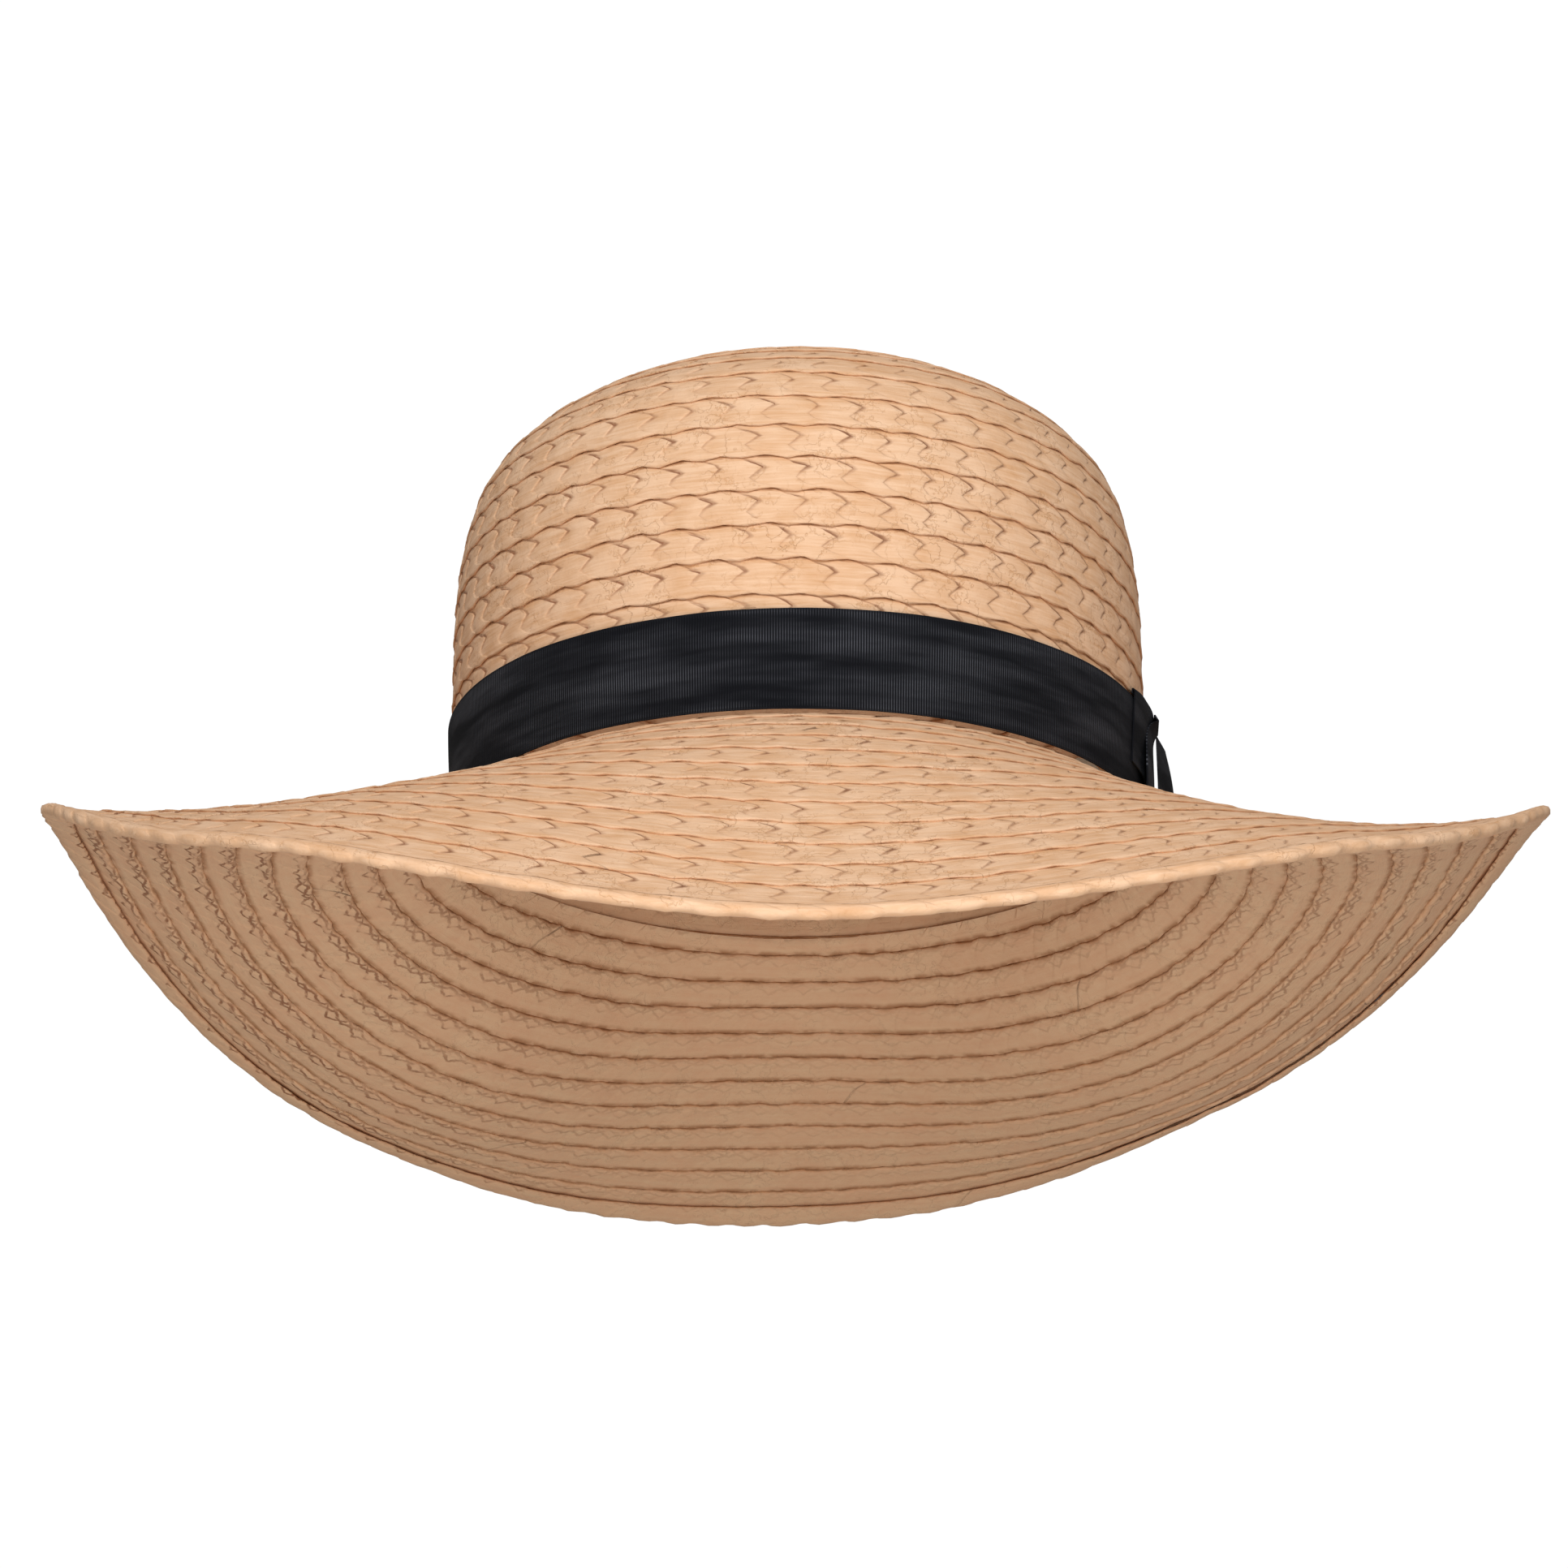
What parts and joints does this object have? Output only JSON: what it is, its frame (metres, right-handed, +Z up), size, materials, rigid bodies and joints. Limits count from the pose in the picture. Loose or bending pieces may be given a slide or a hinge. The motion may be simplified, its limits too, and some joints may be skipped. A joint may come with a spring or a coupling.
{
  "type": "straw sun hat",
  "caption": "Wide-brimmed plaited straw sun hat with a rounded crown, a saddle-shaped brim, a folded edge, and a black ribbon band whose side knot has two short hanging tails.",
  "frame": {"origin": "middle of the head opening, where the crown meets the brim", "axes": "+Z up through the crown's tip; the front of the hat is -Y; the wearer's left, where the knot is, is +X"},
  "size_m": [0.3786, 0.3599, 0.1885],
  "materials": {
    "straw": "natural tan paper-straw plait, matt",
    "binding_straw": "the same plait folded round the edge",
    "wire": "plain steel wire",
    "sleeve": "crimped sleeve",
    "sweatband": "soft woven band",
    "join_tape": "plain woven tape",
    "thread": "sewing thread",
    "label": "blank woven label",
    "ribbon": "black ribbed ribbon, matt"
  },
  "bodies": {
    "hat": {"crown": "straw", "brim": "straw", "edge_binding": "binding_straw", "edge_wire": "wire", "wire_joiner": "sleeve", "sweatband": "sweatband", "sweatband_join": "join_tape", "sweatband_thread": "thread", "label": "label", "size_label": "label", "hat_band": "ribbon", "knot_wrap": "ribbon", "band_tack_right": "thread", "band_tack_back": "thread", "band_tack_front": "thread"},
    "front_tail": {"tail_front": "ribbon"},
    "back_tail": {"tail_back": "ribbon"}
  },
  "joints": [
    {"name": "front_tail_lift", "type": "hinge", "parent": "hat", "child": "front_tail", "pos_m": [0.09345, -0.00912, 0.0248], "axis": [-0.0774, -0.997, 0], "range_deg": [0, 100]},
    {"name": "back_tail_lift", "type": "hinge", "parent": "hat", "child": "back_tail", "pos_m": [0.09345, -0.00912, 0.0248], "axis": [-0.0774, -0.997, 0], "range_deg": [0, 100]}
  ]
}
